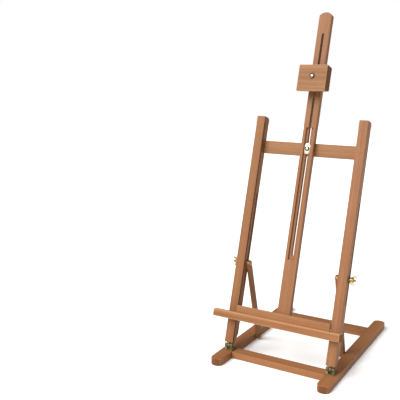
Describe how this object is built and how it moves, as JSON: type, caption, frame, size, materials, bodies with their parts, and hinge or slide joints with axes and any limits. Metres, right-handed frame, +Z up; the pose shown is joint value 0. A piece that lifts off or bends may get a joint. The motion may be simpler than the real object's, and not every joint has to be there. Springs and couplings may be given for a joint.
{
  "type": "tabletop easel",
  "caption": "Wooden tabletop easel with a hinged tilting frame, slotted stays, a sliding mast, a canvas ledge and a top clamp block.",
  "frame": {"origin": "centre of the bounding box, on the surface the base rests on", "axes": "+Z up, -Y towards the painter (the canvas side), +X to the painter's right"},
  "size_m": [0.337, 0.453, 0.8456],
  "materials": {
    "wood": "satin oiled hardwood",
    "brass": "satin",
    "steel": "satin"
  },
  "bodies": {
    "base": {"base_crossbar_front": "wood", "base_crossbar_rear": "wood", "base_dowel_front_left": "wood", "base_dowel_front_right": "wood", "base_dowel_rear_left": "wood", "base_dowel_rear_right": "wood", "base_rail_left": "wood", "base_rail_right": "wood", "hinge_base_leaf_left": "brass", "hinge_base_leaf_right": "brass", "hinge_base_screw_left_1": "steel", "hinge_base_screw_left_2": "steel", "hinge_base_screw_right_1": "steel", "hinge_base_screw_right_2": "steel", "hinge_pin_left": "steel", "hinge_pin_right": "steel", "stay_pivot_screw_left": "brass", "stay_pivot_screw_right": "brass", "stay_pivot_washer_left": "brass", "stay_pivot_washer_right": "brass"},
    "frame": {"canvas_shelf": "wood", "hinge_frame_leaf_left": "brass", "hinge_frame_leaf_right": "brass", "hinge_frame_screw_left_1": "steel", "hinge_frame_screw_left_2": "steel", "hinge_frame_screw_right_1": "steel", "hinge_frame_screw_right_2": "steel", "lower_crossbar": "wood", "lower_dowel_left": "wood", "lower_dowel_right": "wood", "mast_bolt": "steel", "mast_plate": "steel", "mast_washer": "brass", "shelf_backboard": "wood", "upper_crossbar": "wood", "upper_dowel_left": "wood", "upper_dowel_right": "wood", "upright_left": "wood", "upright_right": "wood"},
    "mast": {"mast": "wood"},
    "block": {"block_bolt": "steel", "block_washer": "brass", "clamp_block": "wood"},
    "stay_left": {"stay_bolt_head_left": "brass", "stay_left": "wood"},
    "stay_right": {"stay_bolt_head_right": "brass", "stay_right": "wood"},
    "carriage_left": {"stay_bolt_shank_left": "brass", "stay_washer_left": "brass"},
    "carriage_right": {"stay_bolt_shank_right": "brass", "stay_washer_right": "brass"},
    "mast_nut": {"mast_wing_nut": "brass"},
    "block_nut": {"block_wing_nut": "brass"},
    "stay_nut_left": {"stay_wing_nut_left": "brass"},
    "stay_nut_right": {"stay_wing_nut_right": "brass"}
  },
  "joints": [
    {"name": "frame_tilt", "type": "hinge", "parent": "base", "child": "frame", "pos_m": [0.0085, -0.16184, 0.031], "axis": [-1, 0, 0], "range_deg": [-10, 52]},
    {"name": "mast_slide", "type": "slide", "parent": "frame", "child": "mast", "axis": [0, 0.2874, 0.9578], "range_m": [0, 0.25]},
    {"name": "block_slide", "type": "slide", "parent": "mast", "child": "block", "axis": [0, 0.2874, 0.9578], "range_m": [-0.14, 0.105]},
    {"name": "mast_nut_turn", "type": "hinge", "parent": "frame", "child": "mast_nut", "pos_m": [0.0085, 0.01004, 0.50994], "axis": [0, 0.9578, -0.2874], "range_deg": [-180, 180]},
    {"name": "block_nut_turn", "type": "hinge", "parent": "block", "child": "block_nut", "pos_m": [0.0085, 0.05195, 0.67746], "axis": [0, 0.9578, -0.2874], "range_deg": [-180, 180]},
    {"name": "stay_swing_left", "type": "hinge", "parent": "base", "child": "stay_left", "pos_m": [-0.1081, -0.027, 0.01], "axis": [-1, 0, 0], "range_deg": [-13.6, 70.6]},
    {"name": "stay_bolt_slide_left", "type": "slide", "parent": "frame", "child": "carriage_left", "axis": [0, 0.2874, 0.9578], "range_m": [-0.025, 0.1285]},
    {"name": "stay_nut_turn_left", "type": "hinge", "parent": "carriage_left", "child": "stay_nut_left", "pos_m": [-0.1415, -0.08929, 0.22757], "axis": [-1, 0, 0], "range_deg": [-180, 180]},
    {"name": "stay_swing_right", "type": "hinge", "parent": "base", "child": "stay_right", "pos_m": [0.1251, -0.027, 0.01], "axis": [-1, 0, 0], "range_deg": [-13.6, 70.6]},
    {"name": "stay_bolt_slide_right", "type": "slide", "parent": "frame", "child": "carriage_right", "axis": [0, 0.2874, 0.9578], "range_m": [-0.025, 0.1285]},
    {"name": "stay_nut_turn_right", "type": "hinge", "parent": "carriage_right", "child": "stay_nut_right", "pos_m": [0.1585, -0.08929, 0.22757], "axis": [1, 0, 0], "range_deg": [-180, 180]}
  ],
  "couplings": [
    {"joint": "stay_swing_left", "follows": "frame_tilt", "ratio": 1.3552},
    {"joint": "stay_bolt_slide_left", "follows": "frame_tilt", "m_per_rad": 0.14137},
    {"joint": "stay_swing_right", "follows": "frame_tilt", "ratio": 1.3552},
    {"joint": "stay_bolt_slide_right", "follows": "frame_tilt", "m_per_rad": 0.14137}
  ]
}
